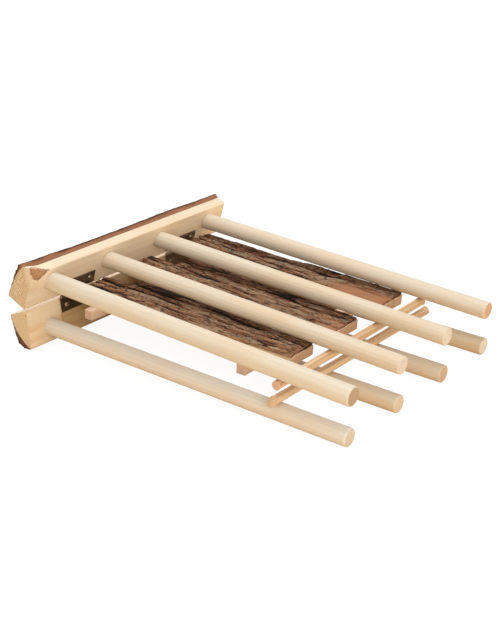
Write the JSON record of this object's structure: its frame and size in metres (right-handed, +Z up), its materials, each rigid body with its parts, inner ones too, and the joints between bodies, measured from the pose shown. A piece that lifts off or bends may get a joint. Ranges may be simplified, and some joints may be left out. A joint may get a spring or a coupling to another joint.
{
  "type": "folding hay rack",
  "caption": "Folding wooden hay rack: hinged log bars with round bars in them, and a loose shelf of bark slats stowed between the racks.",
  "frame": {"origin": "on the floor under the middle of the folded rack", "axes": "+X along the round bars from the hinge to their tips, +Y along the log bars from the knotted end to the plain end, +Z up from the floor that the folded rack lies on"},
  "size_m": [0.326, 0.258, 0.0775],
  "materials": {
    "log_wood": "sawn softwood, bare, matt",
    "log_bark": "natural bark, rough",
    "bar_wood": "sanded round softwood, bare, matt",
    "stick_wood": "peeled round stick, bare, satin",
    "slat_wood": "split softwood, bare, matt",
    "slat_bark": "natural bark, rough and furrowed",
    "batten_wood": "sawn softwood, bare, matt",
    "hinge_metal": "dark bronze plating, satin",
    "screw_metal": "bronze plating worn bright on the heads",
    "nail_steel": "plain bright steel"
  },
  "bodies": {
    "lower_rack": {"lower_log": "log_wood", "lower_log_bark": "log_bark", "lower_bar_1": "bar_wood", "lower_bar_2": "bar_wood", "lower_bar_3": "bar_wood", "lower_bar_4": "bar_wood", "lower_cross_stick": "stick_wood", "lower_stick_brads": "nail_steel", "lower_hinge_leaf_1": "hinge_metal", "lower_hinge_leaf_2": "hinge_metal", "lower_hinge_screws": "screw_metal", "hinge_pin_1": "hinge_metal", "hinge_pin_2": "hinge_metal"},
    "upper_rack": {"upper_log": "log_wood", "upper_log_bark": "log_bark", "upper_bar_1": "bar_wood", "upper_bar_2": "bar_wood", "upper_bar_3": "bar_wood", "upper_bar_4": "bar_wood", "upper_cross_stick": "stick_wood", "upper_stick_brads": "nail_steel", "upper_hinge_leaf_1": "hinge_metal", "upper_hinge_leaf_2": "hinge_metal", "upper_hinge_screws": "screw_metal"},
    "panel": {"slat_1": "slat_wood", "slat_2": "slat_wood", "slat_3": "slat_wood", "slat_bark_1": "slat_bark", "slat_bark_2": "slat_bark", "slat_bark_3": "slat_bark", "inner_batten": "batten_wood", "outer_batten": "batten_wood", "panel_nails": "nail_steel"}
  },
  "joints": [
    {"name": "rack_fold", "type": "hinge", "parent": "lower_rack", "child": "upper_rack", "pos_m": [-0.14206, 0, 0.03676], "axis": [0, -1, 0], "range_deg": [0, 46.7]},
    {"name": "panel_slide", "type": "slide", "parent": "lower_rack", "child": "panel", "axis": [0.9997, 0, -0.024], "range_m": [0, 0.012]}
  ]
}
